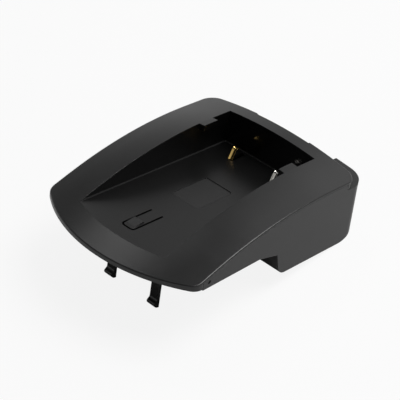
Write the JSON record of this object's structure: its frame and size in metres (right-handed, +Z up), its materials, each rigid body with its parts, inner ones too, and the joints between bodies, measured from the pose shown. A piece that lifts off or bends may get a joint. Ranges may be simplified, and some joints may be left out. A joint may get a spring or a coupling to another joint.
{
  "type": "camera battery charger plate",
  "caption": "Clip-on plate of a camera battery charger: arched black shell with an open battery pocket, spring contacts, a spring tongue, a contact box and long catches.",
  "frame": {"origin": "middle of the bounding box, on the table that the plate stands on", "axes": "+Z up from the table, -Y towards the plate's nose, X across the plate. The plate itself leans nose up by 11 degrees, because it stands on the tips of its catches and on its box's lower rear edge"},
  "size_m": [0.069, 0.0975, 0.0324],
  "materials": {
    "black_moulding": "fine spark-eroded matte moulding",
    "gold_plate": "gold-plated spring strip",
    "nickel_plate": "nickel-plated strip",
    "board_laminate": "green glass-epoxy laminate",
    "zinc_steel": "zinc-plated steel",
    "component_black": "moulded epoxy",
    "component_tan": "fired body, dull"
  },
  "bodies": {
    "root": {"top_cover": "black_moulding", "lower_housing": "black_moulding", "positive_contact": "gold_plate", "negative_contact": "nickel_plate", "circuit_board": "board_laminate", "case_screws": "zinc_steel", "board_screws": "zinc_steel", "base_terminal_positive": "nickel_plate", "base_terminal_sense": "nickel_plate", "base_terminal_negative": "nickel_plate", "voltage_coding_resistor": "component_black", "current_coding_resistor": "component_black", "filter_capacitor": "component_tan", "polarity_diode": "component_black", "resettable_fuse": "component_tan"}
  },
  "joints": []
}
